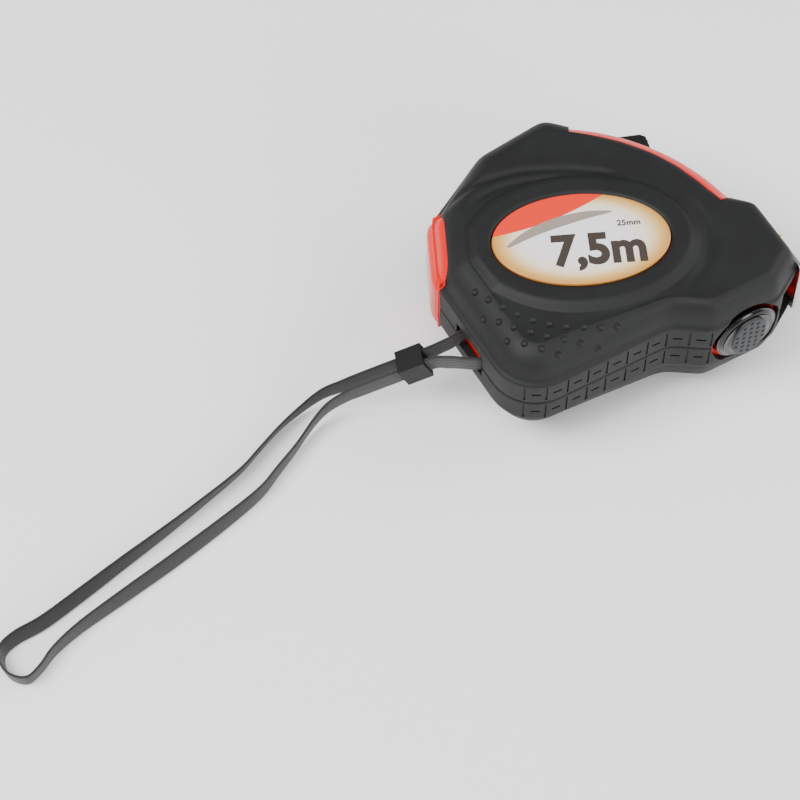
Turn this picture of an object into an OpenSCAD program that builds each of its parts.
// Pocket tape measure with a rubber-jacketed case, thumb lock, stop button,
// belt clip and wrist strap. Millimetres, +Z out of the label face.
// The reel turns about the Z axis. The mouth faces +X and the lock faces +Y.
// The flat arm of the belt clip lies on z = 0.

/* [Tape] */
// Width of the steel blade
tape_w = 25; // [19:1:32]
// Outer radius of the wound blade
coil_r = 24; // [20:0.5:30]
// Radius of the drum that the blade is wound on
drum_r = 15.5; // [13:0.5:18]
// Thickness the straight blade is drawn at
blade_t = 0.3; // [0.2:0.05:0.5]
// Depth of the blade's hollow section
blade_cup = 1.5; // [0.8:0.1:2]

/* [Case] */
// Wall thickness of the hard shells
shell_t = 1.8; // [1.5:0.1:2.4]
// Thickness of the rubber jacket on the side walls
jacket_t = 2; // [1.6:0.1:2.6]
// Rubber thickness over the front plate
front_skin = 0.9; // [0.8:0.1:1.6]
// Rubber thickness over the rear plate
rear_skin = 1.6; // [1:0.1:2.4]
// Rise of the oval bezel above the front face
bezel_rise = 1.4; // [0.8:0.1:2]
// Room between the reel rim and the back wall
back_room = 6; // [5:0.5:9]
// Room between the reel rim and the bottom wall
floor_room = 3.5; // [3.5:0.5:6]
// Room between the reel rim and the top wall
top_room = 4; // [3.5:0.5:7]
// Length of the nose in front of the reel rim
nose_len = 17.5; // [16:0.5:24]
// Drop of the nose below the reel rim
chin_drop = 9.5; // [9:0.5:13]
// Height of the sloping shoulder
shoulder_h = 8.3; // [6:0.1:10]
// Width of the sloping shoulder
shoulder_w = 7.5; // [6:0.5:9]
// How far the red rear bumper stands out of the jacket
bumper_out = 0.5; // [0.2:0.1:2]

/* [Label] */
// Half length of the oval label
label_a = 22.2; // [18:0.2:26]
// Half height of the oval label
label_b = 13.7; // [11:0.1:16]
// Tilt of the label's long axis
label_tilt = -24; // [-35:1:0]
// Thickness of the label plate
label_t = 1; // [0.6:0.1:1.6]
// Width of the bezel round the label
bezel_w = 7.5; // [5:0.5:9]

/* [Lock] */
// Radius of the curved lock track
track_r = 56; // [52:1:64]
// Width of the thumb piece
lock_w = 17; // [14:0.5:20]
// Height of the thumb piece above the track
lock_h = 4.4; // [3:0.2:5]
// Turn of the lock from open to locked, in degrees
lock_travel = 6; // [4:0.5:7]

/* [Stop button] */
// Radius of the round button
button_r = 8.6; // [7:0.2:10]
// How far the button is pressed
button_travel = 2; // [1:0.25:2.5]
// Half width of the grip pad
grip_a = 5; // [3:0.5:6]
// Half height of the grip pad
grip_b = 7; // [5:0.5:8]

/* [Hook] */
// Thickness of the hook plate
hook_t = 1; // [0.8:0.1:1.4]
// Width of the hook lip
hook_w = 18; // [14:0.5:20]
// Length of the lip below the blade
lip_len = 9; // [6:0.5:10]
// Free play of the hook on its rivets
hook_play = 1; // [0.6:0.1:1.2]

/* [Belt clip] */
// Thickness of the clip steel
clip_t = 1; // [0.8:0.1:1.4]
// Width of the clip
clip_w = 18; // [14:1:24]
// Gap between the foot and the arm of the clip
belt_gap = 4.6; // [4.4:0.2:7]
// Length of the clip arm
clip_len = 48; // [36:1:52]

/* [Strap] */
// Width of the wrist strap
strap_w = 5; // [4:0.5:6]
// Thickness of the wrist strap
strap_t = 0.8; // [0.6:0.1:1]

/* [Hidden] */

// Clearances
reel_gap = 1.2;      // coil to reel bay, on the radius
side_gap = 0.6;      // blade edge to plate
run_gap = 0.05;      // running fit on the radius
fit_gap = 0.3;       // between pieces that slide past each other
skin_gap = 0.02;     // jacket to shell, so that two faceted skins never cut
eps = 0.01;
big = 200;

// Heights from the middle of the tape
bay = tape_w / 2 + side_gap;
plate = bay + shell_t;
face = plate + front_skin;
rear = plate + rear_skin;
bezel_top = face + bezel_rise;
label_top = bezel_top + 0.3;
pad_top = label_top - label_t;
mid = 2 * clip_t + belt_gap + rear;

// Plan distances from the reel axis
rim = coil_r + reel_gap + shell_t + jacket_t;
back_d = rim + back_room;
floor_d = rim + floor_room;
top_d = rim + top_room;
nose_d = rim + nose_len;
chin_d = rim + chin_drop;

// Lock track centre: the track passes the top of the reel and the nose
track_c = [nose_d - 5.1 - track_r, 13.5 - rim];
flush = 0.3;         // the shell's sink below the rubber along the track

// Outline of the case, counter-clockwise, as arcs [x, y, r, kind] joined by
// tangents. A negative r is a hollow arc. The kind picks the shoulder:
// 0 body, 1 nose, 2 lock track, 3 crown.
track_pin = 14;
function track_at(a, d, r) = [track_c[0] + (track_r + d) * cos(a), track_c[1] + (track_r + d) * sin(a), r, 2];
case_arcs = concat(
    [[12 - back_d, 12 - floor_d, 12, 0], [5.5, -floor_d - 8, -8, 1],
        [19, 7 - chin_d, 7, 1], [nose_d - 12.5, 6 - chin_d, 6, 1],
        [nose_d - 5, 9.5 - chin_d, 5, 1], [nose_d - 5.3, 14.5 - rim, 5.3, 1], track_at(10.5, 2.15, -2)],
    [for (a = [14 : 9 : 41]) track_at(a, -track_pin, track_pin)],
    [[9.5, top_d - 3.2, 6.8, 3], [-6.5, top_d - 5.8, 7.5, 3],
        [16 - back_d, 17, 10.3, 0], [9.6 - back_d, 4, 10, 0]]);

// Levels [height, growth] of each kind, from the parting plane to the face.
// depth is the distance from the parting plane to the outer face.
function outer_levels(kind, depth) =
    kind == 1 ? [[0, 0], [depth - 6.8, 0], [depth - 1.8, -2.8], [depth, -5]] :
    kind == 2 ? [[0, 0], [depth - 5.6, 0], [depth - 1.6, -2.8], [depth, -6.5]] :
    kind == 3 ? [[0, 0], [depth - 6.8, 0], [depth - 2.2, -2.4], [depth, -6]] :
    [[0, 0], [depth - shoulder_h, 0], [depth - 0.4 * shoulder_h, -2.6], [depth, -shoulder_w]];
function skin_wall(kind) = kind == 2 ? flush : kind == 3 ? jacket_t + 1 : jacket_t;
// The face between rubber and shell, moved outwards by gap
function skin_levels(kind, gap) = let (w = gap - skin_wall(kind), top = plate + gap)
    kind == 0 ? [[0, w], [top - 0.9 * shoulder_h, w], [top - 3.5, w - 1.4], [top, w - shoulder_w + 1.7]] :
    [[0, w], [top - 4.9, w], [top - 1.8, w - 2.2], [top, w - 4.4]];
// The hollow inside the shells
function bay_levels(kind) = let (w = -shell_t - skin_wall(kind))
    kind == 0 ? [[0, w], [bay - 6.2, w], [bay - 2.6, w - 1.4], [bay, w - 3.3]] :
    [[0, w], [bay - 3.3, w], [bay - 1.3, w - 1.4], [bay, w - 2.6]];
kinds = [0 : 3];

// Angle of the outward normal on the tangent from arc p to arc q
function tangent(p, q) = let (d = [q[0] - p[0], q[1] - p[1]])
    atan2(d[1], d[0]) - acos((p[2] - q[2]) / norm(d));
function near(a, b) = b < a - 180 ? near(a, b + 360) : b > a + 180 ? near(a, b - 360) : b;
function arc_radius(c, g) = c[2] < 0 ? c[2] + g : max(c[2] + g, 0.4);
function grown(lv, i) = [for (c = case_arcs) [c[0], c[1], arc_radius(c, lv[c[3]][i][1]), c[3]]];
function steps(i) = let (n = len(case_arcs), a = tangent(case_arcs[(i + n - 1) % n], case_arcs[i]))
    max(1, ceil(abs(near(a, tangent(case_arcs[i], case_arcs[(i + 1) % n])) - a) / 15));
// Ring number i round the case, with lv the levels of each kind
function ring(lv, i) = let (g = grown(lv, i), n = len(g))
    [for (m = [0 : n - 1])
        let (a = tangent(g[(m + n - 1) % n], g[m]), b = near(a, tangent(g[m], g[(m + 1) % n])), k = steps(m))
        for (j = [0 : k]) let (t = a + (b - a) * j / k)
            [g[m][0] + g[m][2] * cos(t), g[m][1] + g[m][2] * sin(t), lv[g[m][3]][i][0]]];
function flat(ps) = [for (p = ps) [p[0], p[1]]];

// Half case: rings up the outside, rings down the inside, open at z = 0. Both
// walls split their quads the same way, so a skin and the shell in it never cross.
module cup(outer, inner) {
    up = len(outer[0]);
    down = len(inner[0]);
    rings = concat([for (i = [0 : up - 1]) ring(outer, i)], [for (i = [down - 1 : -1 : 0]) ring(inner, i)]);
    n = len(rings[0]);
    m = up + down;
    sides = [for (i = [0 : m - 1]) if (i != up - 1) for (j = [0 : n - 1])
        let (k = (j + 1) % n, i2 = (i + 1) % m, a = i * n + j, b = i2 * n + j, c = i2 * n + k, d = i * n + k)
        for (f = i < up ? [[a, b, c], [a, c, d]] : [[a, b, d], [b, c, d]]) f];
    // Flat caps are fans from a middle point, so that none of their triangles is a sliver
    caps = [for (j = [0 : n - 1]) let (k = (j + 1) % n)
        for (f = [[(up - 1) * n + k, (up - 1) * n + j, m * n], [up * n + j, up * n + k, m * n + 1]]) f];
    polyhedron(concat([for (r = rings) for (p = r) p], [[2, 1, rings[up - 1][0][2]], [2, 1, rings[up][0][2]]]),
        concat(sides, caps));
}

// Children in the front half (side = 1) or mirrored into the rear half (side = -1)
module flip(side) {
    if (side > 0) children();
    if (side < 0) mirror([0, 0, 1]) children();
}

module sector(r0, r1, a0, a1, z0, z1) {
    translate([track_c[0], track_c[1], z0]) linear_extrude(z1 - z0) difference() {
        polygon(concat([[0, 0]], [for (i = [0 : 4]) let (a = a0 + (a1 - a0) * i / 4)
            [1.2 * r1 * cos(a), 1.2 * r1 * sin(a)]]));
        circle(r = r0, $fn = 96);
        difference() {
            circle(r = 2 * r1, $fn = 96);
            circle(r = r1, $fn = 96);
        }
    }
}

// Red strip: the shell shows through the jacket along the lock track
strip_a0 = 6.5;
strip_a1 = 56;
strip_lap = 4.6;
module strip_window(gap) {
    sector(track_r - strip_lap - gap, track_r + 6, strip_a0 - gap, strip_a1 + gap, -rear - 1, face + 1);
}

// Red bumper on the sloping part of the back wall
bumper_y0 = 5.5;
bumper_y1 = 24;
bumper_h = 9.5;
module bumper_space(gap) {
    translate([-back_d - 5, bumper_y0 - gap, -bumper_h - gap])
        cube([20, bumper_y1 - bumper_y0 + 2 * gap, 2 * (bumper_h + gap)]);
}
module rear_bumper() {
    linear_extrude(bumper_h) intersection() {
        difference() {
            polygon(flat(ring([for (k = kinds) [[0, bumper_out]]], 0)));
            polygon(flat(ring([for (k = kinds) [[0, -jacket_t - 1]]], 0)));
        }
        translate([-back_d - 5, bumper_y0]) square([20, bumper_y1 - bumper_y0]);
    }
}

// Strap eyelet: two slots either side of a bar of the back wall
eye_y0 = -13.7;
eye_y1 = -5.3;
slot_w = 2.8;
eye_h = strap_w / 2 + 0.7;
module eyelet_slots() {
    for (y = [eye_y0, eye_y1]) translate([-back_d - 1, y - slot_w / 2, -eye_h])
        cube([8, slot_w, 2 * eye_h]);
}
module eyelet_window() {
    translate([-back_d - 1, eye_y0 - slot_w / 2 - 0.6, -eye_h - 0.6])
        cube([jacket_t + 1 + eps, eye_y1 - eye_y0 + slot_w + 1.2, 2 * (eye_h + 0.6)]);
}

// Case screws: plan places of their bosses
screw_r = 1.3;
screw_head_r = 2.6;
boss_r = 2.2;
screw_spots = [[9.4 - back_d, 11.3 - floor_d], [14.5 - back_d, 18.4], [14.2, rim - 4.4], [14.6, 9.3 - chin_d]];
screw_tip = 8;
screw_seat = -rear + 3.2;

// Blade path: the straight blade leaves the coil at the bottom
blade_y = -(coil_r + 0.3);
blade_low = blade_y - blade_cup;
cup_r = (pow(tape_w / 2, 2) + pow(blade_cup, 2)) / (2 * blade_cup);
blade_x0 = 0.5;
lip_x = nose_d - hook_t - 0.2;
blade_x1 = lip_x - 0.15;
mouth_y0 = blade_low - 0.8;
mouth_y1 = blade_y + 1.8;
guide_t = 1.2;
guide_l = 9.5;

// Stop button on the underside of the nose
button_x = 27.3;
button_out = chin_d + 0.8;
well_r = button_r + 1.4;
flange_r = button_r + 0.7;
chin_wall = chin_d - jacket_t - shell_t;
stem_x = 10;
stem_z = 12;
pad_y = blade_low - button_travel - fit_gap;

// Lock: angles of the thumb piece on its track when open
thumb_a0 = 33.8;
thumb_a1 = 44.5;
neck_a0 = 37;
neck_a1 = 41;
neck_w = 8;
tongue_r1 = track_r - jacket_t * 0.15 - shell_t - jacket_t - 0.4;
tongue_r0 = tongue_r1 - 1.6;
tab_w = 14;
tab_t = 0.8;
tab_y = blade_low + blade_t + pow(tab_w / 2, 2) / (2 * cup_r) + 0.08;
tongue_y = tab_y + tab_t + 0.2;
pad_a = asin((tongue_y - track_c[1]) / tongue_r1) + lock_travel;

module screw_cuts(side) {
    for (p = screw_spots) translate([p[0], p[1], 0]) {
        translate([0, 0, -rear - 1]) cylinder(r = screw_r + (side < 0 ? run_gap : 0), h = rear + screw_tip + 1, $fn = 32);
        if (side < 0) translate([0, 0, -rear - 1]) cylinder(r = screw_head_r + 0.2, h = screw_seat + rear + 1, $fn = 32);
    }
}

module oval(a, b, z0, z1, n = 72) {
    translate([-1, -4, z0]) rotate([0, 0, label_tilt]) linear_extrude(z1 - z0)
        polygon([for (i = [0 : n - 1]) [a * cos(360 * i / n), b * sin(360 * i / n)]]);
}

module bosses() {
    for (p = screw_spots) translate([p[0], p[1], 0]) cylinder(r = boss_r, h = bay + 0.05, $fn = 32);
    // Ribs that carry the wear plate under the blade
    for (x = [nose_d - 9.2, nose_d - 7]) translate([x, 8.2 - chin_d, 0])
        cube([1.4, chin_d - 8.2 + mouth_y0 - guide_t - fit_gap, bay + 0.05]);
}

module button_cuts(r) {
    translate([button_x, -chin_d - 3, 0]) rotate([-90, 0, 0]) cylinder(r = r, h = jacket_t + shell_t + 4.2, $fn = 64);
}

// Finger notch in the chin, recess that holds the hook lip, and mouth
module front_cuts() {
    translate([nose_d - 8, -chin_d - 1, -6.5]) cube([12, chin_d + 1 + mouth_y0 - guide_t, 13]);
    wear_plate(run_gap);
    translate([lip_x - 0.05, -chin_d - 1, -hook_w / 2 - 0.5])
        cube([5, chin_d + 2 + mouth_y1, hook_w + 1]);
    translate([nose_d - 9, mouth_y0, 0.1 - bay]) cube([14, mouth_y1 - mouth_y0, 2 * bay - 0.2]);
}

// Rubber pads that the hook lip comes home against
module hook_pads() {
    for (z = [-8.9, 6.9]) translate([lip_x - 1.3, mouth_y0 - 5.5, z]) cube([1.2, 4, 2]);
}

module shell(side) {
    color("red") translate([0, 0, mid]) difference() {
        flip(side) {
            cup([for (k = kinds) skin_levels(k, 0)], [for (k = kinds) bay_levels(k)]);
            bosses();
            rear_bumper();
            if (side > 0) oval(label_a - 0.4, label_b - 0.4, bay + 0.6, pad_top);
        }
        eyelet_slots();
        screw_cuts(side);
        button_cuts(button_r + fit_gap);
        front_cuts();
        hook_pads();
        // Slot for the neck of the lock
        sector(track_r - 9, track_r + 6, neck_a0 - lock_travel - 0.4, neck_a1 + 0.4, -neck_w / 2 - 0.2, neck_w / 2 + 0.2);
        // Sockets for the ends of the arbor
        translate([0, 0, -bay - 1.1]) cylinder(r = arbor_end + run_gap, h = 2 * bay + 2.2, $fn = 48);
        if (side < 0) translate([0, 0, -rear - 1]) cylinder(r = clip_screw_r + 0.2, h = 5, $fn = 32);
    }
}

module jacket(side) {
    color([0.18, 0.19, 0.2]) translate([0, 0, mid]) difference() {
        flip(side) {
            cup([for (k = kinds) outer_levels(k, side > 0 ? face : rear)], [for (k = kinds) skin_levels(k, skin_gap)]);
            if (side > 0) bezel();
        }
        strip_window(0);
        bumper_space(skin_gap);
        eyelet_window();
        eyelet_slots();
        if (side < 0) for (p = screw_spots) translate([p[0], p[1], -rear - 1])
            cylinder(r = screw_head_r + 0.4, h = rear, $fn = 32);
        if (side < 0) translate([0, 0, -rear - 1]) cylinder(r = clip_screw_r + 0.2, h = rear, $fn = 32);
        button_cuts(well_r);
        front_cuts();
        hook_pads();
        if (side > 0) oval(label_a, label_b, 0, label_top + 1);
    }
}

// Raised oval ring round the label
module bezel() {
    oval(label_a + bezel_w, label_b + bezel_w, plate + 0.2, face + bezel_rise * 0.5);
    oval(label_a + 1.6, label_b + 1.6, plate + 0.2, bezel_top);
}

module front_shell() { shell(1); }
module rear_shell() { shell(-1); }
module front_jacket() { jacket(1); }
module rear_jacket() { jacket(-1); }

module label_plate() {
    color("gold") translate([0, 0, mid]) {
        oval(label_a - 0.15, label_b - 0.15, pad_top, label_top - 0.35);
        oval(label_a - 1.2, label_b - 1.2, label_top - 0.35 - eps, label_top);
    }
}

// Reel: arbor, drum, spring and coil
arbor_r = 3.4;
arbor_end = 2.4;
clip_screw_r = 1.3;
hub_r = 5.2;
drum_wall = 1.3;
drum_floor = 1.6;
washer_t = 0.25;

module reel_arbor() {
    color("silver") translate([0, 0, mid]) difference() {
        union() {
            translate([0, 0, -bay]) cylinder(r = arbor_r, h = 2 * bay, $fn = 48);
            translate([0, 0, -bay - 1]) cylinder(r = arbor_end, h = 2 * bay + 2, $fn = 48);
        }
        translate([-0.35, 0, 1 - tape_w / 2 + 4]) cube([0.7, 5, tape_w - 6]);
        translate([0, 0, -bay - 2]) cylinder(r = clip_screw_r, h = 10, $fn = 32);
    }
}

module reel_drum() {
    color("white") translate([0, 0, mid]) difference() {
        union() {
            difference() {
                translate([0, 0, -tape_w / 2]) cylinder(r = drum_r, h = tape_w, $fn = 96);
                translate([0, 0, -tape_w / 2 + drum_floor]) cylinder(r = drum_r - drum_wall, h = tape_w, $fn = 96);
            }
            translate([0, 0, -tape_w / 2]) cylinder(r = hub_r, h = drum_floor + 2, $fn = 48);
        }
        translate([0, 0, -big / 2]) cylinder(r = arbor_r + run_gap, h = big, $fn = 48);
    }
}

// Flat spiral of band steel from the arbor to the drum wall
spring_turns = 5;
spring_steps = 20;
function spiral(r0, r1) = [for (i = [0 : spring_turns * spring_steps])
    let (a = 360 * i / spring_steps, r = r0 + (r1 - r0) * i / (spring_turns * spring_steps)) [r * cos(a), r * sin(a)]];
module power_spring() {
    inner = hub_r + 0.3;
    outer = drum_r - drum_wall - 0.3;
    band = 0.5;
    far_side = spiral(inner + band, outer);
    color("dimgray") translate([0, 0, mid - tape_w / 2 + drum_floor + 2.2])
        linear_extrude(tape_w - drum_floor - 3)
            polygon(concat(spiral(inner, outer - band),
                [for (i = [len(far_side) - 1 : -1 : 0]) far_side[i]]));
}

module blade_coil() {
    color("yellow") translate([0, 0, mid - tape_w / 2]) difference() {
        cylinder(r = coil_r, h = tape_w, $fn = 96);
        translate([0, 0, -1]) cylinder(r = drum_r, h = tape_w + 2, $fn = 96);
    }
}

module reel_washers() {
    color("ivory") for (z = [-bay, bay - washer_t]) translate([0, 0, mid + z]) difference() {
        cylinder(r = coil_r - 2, h = washer_t, $fn = 64);
        translate([0, 0, -1]) cylinder(r = arbor_r + 0.4, h = 3, $fn = 48);
    }
}

// Straight blade, hollow side up
rivet_r = 1;
rivet_spots = [[lip_x - 6.5, -4.5], [lip_x - 6.5, 4.5], [lip_x - 3, 0]];
module blade_section(r, x0, x1) {
    translate([x0, blade_low + cup_r, mid]) rotate([0, 90, 0]) cylinder(r = r, h = x1 - x0, $fn = 200);
}
module rivet_holes(r, y0, y1) {
    for (p = rivet_spots) translate([p[0], y0, mid + p[1]]) rotate([-90, 0, 0]) cylinder(r = r, h = y1 - y0, $fn = 32);
}
module blade_end() {
    color("yellow") difference() {
        intersection() {
            blade_section(cup_r, blade_x0, blade_x1);
            translate([0, blade_low - 1, mid - tape_w / 2]) cube([big, blade_cup + 1, tape_w]);
        }
        blade_section(cup_r - blade_t, blade_x0 - 1, blade_x1 + 1);
        rivet_holes(rivet_r + 0.02, blade_low - 1, blade_y + 1);
    }
}

// Hook: a tab on the blade and a lip that bends down in front of it
module end_hook() {
    color("silver") difference() {
        union() {
            translate([lip_x - 11, tab_y, mid - tab_w / 2]) cube([11 + hook_t, tab_t, tab_w]);
            translate([lip_x, tab_y - lip_len, mid - hook_w / 2]) cube([hook_t, lip_len + tab_t, hook_w]);
        }
        for (p = rivet_spots) hull() for (dx = [0, -hook_play])
            translate([p[0] + dx, tab_y - 1, mid + p[1]]) rotate([-90, 0, 0]) cylinder(r = rivet_r + 0.05, h = 3, $fn = 32);
    }
}

module hook_rivets() {
    color("silver") {
        rivet_holes(rivet_r, blade_low - 0.3, tab_y + tab_t + 0.6);
        rivet_holes(rivet_r + 0.6, tab_y + tab_t + 0.1, tab_y + tab_t + 0.6);
        rivet_holes(rivet_r + 0.5, blade_low - 0.5, blade_low - 0.02);
    }
}

module wear_plate(gap) {
    translate([nose_d - 4 - guide_l - gap, mouth_y0 - guide_t - gap, 0.3 - bay - gap])
        cube([guide_l + 2 * gap, guide_t + 2 * gap, 2 * (bay - 0.3 + gap)]);
}
module mouth_guide() {
    color("gray") translate([0, 0, mid]) wear_plate(0);
}

module hook_bumper() {
    color("black") translate([0, 0, mid]) hook_pads();
}

// Thumb lock
module lock_slider() {
    tip_a = 38.3;
    color("black") translate([0, 0, mid]) {
        translate([track_c[0], track_c[1], -lock_w / 2]) linear_extrude(lock_w) difference() {
            polygon([[50 * cos(thumb_a0), 50 * sin(thumb_a0)],
                [(track_r + 0.9) * cos(thumb_a0), (track_r + 0.9) * sin(thumb_a0)],
                [(track_r + lock_h) * cos(tip_a - 1.5), (track_r + lock_h) * sin(tip_a - 1.5)],
                [(track_r + lock_h) * cos(tip_a), (track_r + lock_h) * sin(tip_a)],
                [(track_r + 0.9) * cos(thumb_a1), (track_r + 0.9) * sin(thumb_a1)],
                [50 * cos(thumb_a1), 50 * sin(thumb_a1)]]);
            circle(r = track_r + fit_gap, $fn = 96);
        }
        sector(tongue_r1, track_r + fit_gap + eps, neck_a0, neck_a1, -neck_w / 2, neck_w / 2);
    }
}

module lock_tongue() {
    color("dimgray") translate([0, 0, mid])
        sector(tongue_r0, tongue_r1, pad_a + 1.6, neck_a1 + 1, -neck_w / 2 + 0.2, neck_w / 2 - 0.2);
}

module lock_pad() {
    color("black") translate([0, 0, mid])
        sector(tongue_r0, tongue_r1, pad_a, pad_a + 1.6, -neck_w / 2 + 0.2, neck_w / 2 - 0.2);
}

// Stop button: dome, flange and stem, drawn along +Y
module along_y(x, y, r, h) {
    translate([x, y, mid]) rotate([-90, 0, 0]) cylinder(r = r, h = h, $fn = 64);
}
module stop_button() {
    top = fit_gap - chin_wall;
    color("black") difference() {
        union() {
            along_y(button_x, 1 - button_out, button_r, top + button_out - 1);
            along_y(button_x, -button_out, button_r - 1.4, 1 + eps);
            // The flange stops short of the chin's sloping front wall
            intersection() {
                along_y(button_x, top, flange_r, 1.2);
                translate([button_x - flange_r - 1, top - 1, mid - flange_r - 1]) cube([flange_r + 7.6, 4, 2 * flange_r + 2]);
            }
            translate([button_x - stem_x / 2, top, mid - stem_z / 2]) cube([stem_x, pad_y - 1.6 - top, stem_z]);
        }
        grip_shape(0, 1);
    }
}
module grip_shape(gap, depth) {
    translate([button_x, -button_out - 0.8, mid]) rotate([-90, 0, 0]) linear_extrude(depth + 0.8)
        polygon([for (i = [0 : 47]) [(grip_a - gap) * cos(7.5 * i), (grip_b - gap) * sin(7.5 * i)]]);
}
module button_grip() {
    color("slategray") difference() {
        grip_shape(0.02, 1);
        translate([0, -button_out - 5.4, mid - 50]) cube([100, 5, 100]);
    }
}
module button_spring() {
    color("silver") difference() {
        along_y(button_x, 1.2 + fit_gap - chin_wall, flange_r - 0.4, 1);
        translate([button_x - stem_x / 2 - 0.2, -chin_d, mid - stem_z / 2 - 0.2]) cube([stem_x + 0.4, chin_d, stem_z + 0.4]);
    }
}
module brake_pad() {
    color("black") translate([button_x - stem_x / 2, pad_y - 1.6, mid - stem_z / 2]) cube([stem_x, 1.6, stem_z]);
}

module case_screws() {
    color("silver") translate([0, 0, mid]) for (p = screw_spots) translate([p[0], p[1], 0]) difference() {
        union() {
            translate([0, 0, screw_seat - 1.6]) cylinder(r = screw_head_r, h = 1.6, $fn = 32);
            translate([0, 0, screw_seat - eps]) cylinder(r = screw_r, h = screw_tip - 0.5 - screw_seat, $fn = 32);
        }
        for (a = [0, 90]) rotate([0, 0, a]) translate([-1.6, -0.35, screw_seat - 2]) cube([3.2, 0.7, 1.2]);
    }
}

// Belt clip: foot on the rear face, hairpin at the top, arm on z = 0
clip_top = 24;
clip_lip = 6;
function offset_path(ps, d) = [for (i = [0 : len(ps) - 1])
    let (a = ps[max(i - 1, 0)], b = ps[min(i + 1, len(ps) - 1)], t = (b - a) / norm(b - a)) ps[i] + d * [-t[1], t[0]]];
clip_arc_r = (belt_gap + clip_t) / 2;
clip_path = concat([[-9, 1.5 * clip_t + belt_gap]],
    [for (a = [90 : -15 : -90]) [clip_top + clip_arc_r * cos(a), clip_t / 2 + clip_arc_r + clip_arc_r * sin(a)]],
    [[clip_top - clip_len + 2 * clip_lip, clip_t / 2], [clip_top - clip_len + clip_lip, clip_t / 2 + 2.2],
        [clip_top - clip_len, clip_t / 2 + 0.6]]);
module belt_clip() {
    color("silver") difference() {
        translate([-clip_w / 2, 0, 0]) rotate([90, 0, 90]) linear_extrude(clip_w)
            polygon(concat(offset_path(clip_path, clip_t / 2),
                [for (i = [len(clip_path) - 1 : -1 : 0]) offset_path(clip_path, -clip_t / 2)[i]]));
        translate([0, 0, clip_t + belt_gap - 1]) cylinder(r = clip_screw_r + 0.1, h = 4, $fn = 32);
        translate([0, 0, clip_t + belt_gap - eps]) cylinder(r1 = 2.7, r2 = 2, h = 0.7, $fn = 48);
    }
}
module clip_screw() {
    color("silver") translate([0, 0, clip_t + belt_gap]) difference() {
        union() {
            cylinder(r1 = 2.6, r2 = 1.9, h = 0.7, $fn = 48);
            translate([0, 0, 0.5]) cylinder(r = clip_screw_r, h = rear - bay + 7 + clip_t, $fn = 32);
        }
        for (a = [0, 90]) rotate([0, 0, a]) translate([-1.3, -0.3, -0.5]) cube([2.6, 0.6, 0.9]);
    }
}

// Wrist strap: route of its centre line, from the bar out and back
strap_in = 4.7 - back_d;
route = [[strap_in, -10, mid], [strap_in, -12.2, mid], [-32.6, -13.6, mid], [-34.5, -14.1, mid],
    [-36.2, -13.4, 22.5], [-38.8, -11, 21.7], [-41.4, -8.4, 20.4],
    [-44.2, -6.2, 19], [-52.2, -3.2, 15], [-60.2, -0.2, 11],
    [-65, 1.4, 8.6], [-70, 2, 6], [-75, 0.6, 4], [-81, -2.6, 3], [-88, -6.2, 2.8], [-95, -9.8, 2.8],
    [-106, -12.9, 2.8], [-122, -16.5, 2.8], [-137, -19.4, 2.8], [-150, -22, 2.8], [-158, -24.6, 2.8],
    [-163, -27.4, 2.8], [-167, -28.6, 2.8], [-170, -26, 2.8], [-170.6, -22, 2.8], [-169, -18.6, 2.8],
    [-164.6, -17, 2.8], [-157, -16.4, 2.8], [-145, -13.8, 2.8], [-133, -11, 2.8], [-121, -8.3, 2.8],
    [-110, -5.6, 2.8], [-97, -2, 2.8], [-89.4, 1.4, 2.8], [-82, 4.6, 2.9], [-75, 6.4, 3.6], [-69, 6.4, 6],
    [-64, 4.8, 8.4], [-59, 3, 11], [-51, 0, 15], [-43, -3, 19],
    [-40, -4, 20.6], [-37.6, -4.7, 22], [-35.6, -4.9, mid], [-33, -5.1, mid], [strap_in, -6.8, mid],
    [strap_in, -9.7, mid]];

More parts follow.
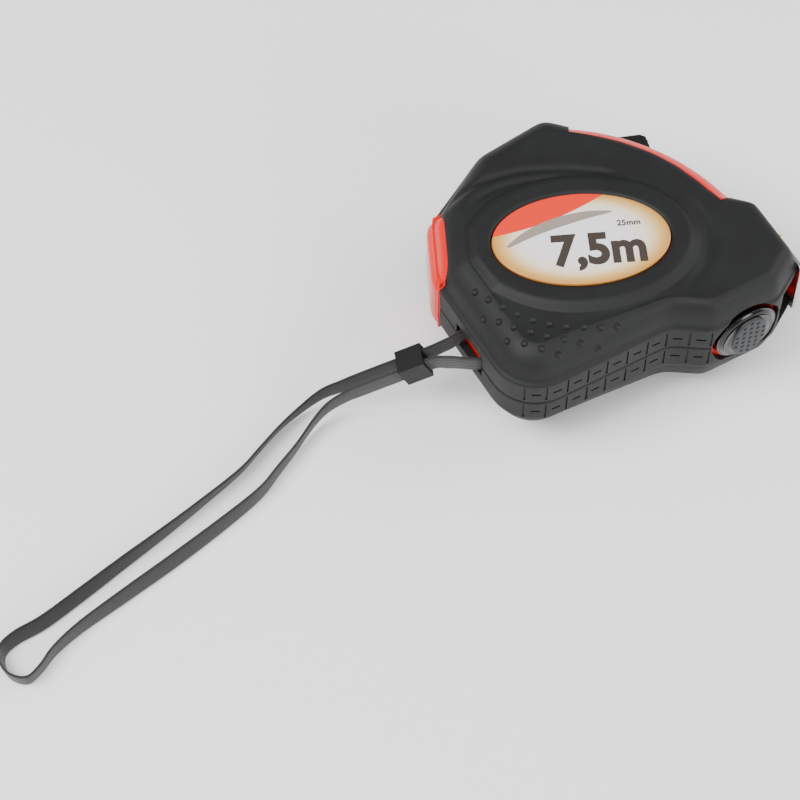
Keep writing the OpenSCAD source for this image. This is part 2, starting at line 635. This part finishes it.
module ribbon(ps, w, t) {
    n = len(ps);
    k = 8;
    ring = [for (j = [0 : k - 1]) let (a = 22.5 + 45 * j, s = sign(sin(a)), c = sign(cos(a)))
        [c * (abs(cos(a)) > 0.7 ? 0.5 * t : 0.3 * t), s * (abs(sin(a)) > 0.7 ? 0.5 * w : 0.5 * w - 0.25 * t)]];
    pts = [for (i = [0 : n - 1])
        let (d = ps[min(i + 1, n - 1)] - ps[max(i - 1, 0)], f = d / norm(d), up = [0, 0, 1] - f[2] * f,
            u = up / norm(up), v = cross(u, f))
        for (q = ring) ps[i] + q[0] * v + q[1] * u];
    sides = [for (i = [0 : n - 2]) for (j = [0 : k - 1]) let (m = (j + 1) % k)
        [i * k + j, i * k + m, (i + 1) * k + m, (i + 1) * k + j]];
    polyhedron(pts, concat(sides, [[for (j = [k - 1 : -1 : 0]) j]], [[for (j = [0 : k - 1]) (n - 1) * k + j]]));
}

module wrist_strap() {
    color("black") ribbon(route, strap_w, strap_t);
}

// Clasp: a sleeve on the straight stretch where both strands run side by side
clasp_a = (route[7] + route[40]) / 2;
clasp_b = (route[8] + route[39]) / 2;
clasp_d = clasp_b - clasp_a;
clasp_l = 7;
clasp_w = 6.4;
clasp_h = strap_w + 1.6;
strand_gap = norm(route[40] - route[7]);
module strap_clasp() {
    color("black") translate((clasp_a + clasp_b) / 2)
        rotate([0, -asin(clasp_d[2] / norm(clasp_d)), atan2(clasp_d[1], clasp_d[0])]) difference() {
            cube([clasp_l, clasp_w, clasp_h], center = true);
            for (s = [-1, 1]) translate([0, s * strand_gap / 2, 0])
                cube([clasp_l + 1, strap_t + 0.4, strap_w + 0.4], center = true);
        }
}

front_shell();
rear_shell();
front_jacket();
rear_jacket();
label_plate();
reel_arbor();
reel_drum();
power_spring();
blade_coil();
reel_washers();
blade_end();
end_hook();
hook_rivets();
mouth_guide();
hook_bumper();
lock_slider();
lock_tongue();
lock_pad();
stop_button();
button_grip();
button_spring();
brake_pad();
case_screws();
belt_clip();
clip_screw();
wrist_strap();
strap_clasp();
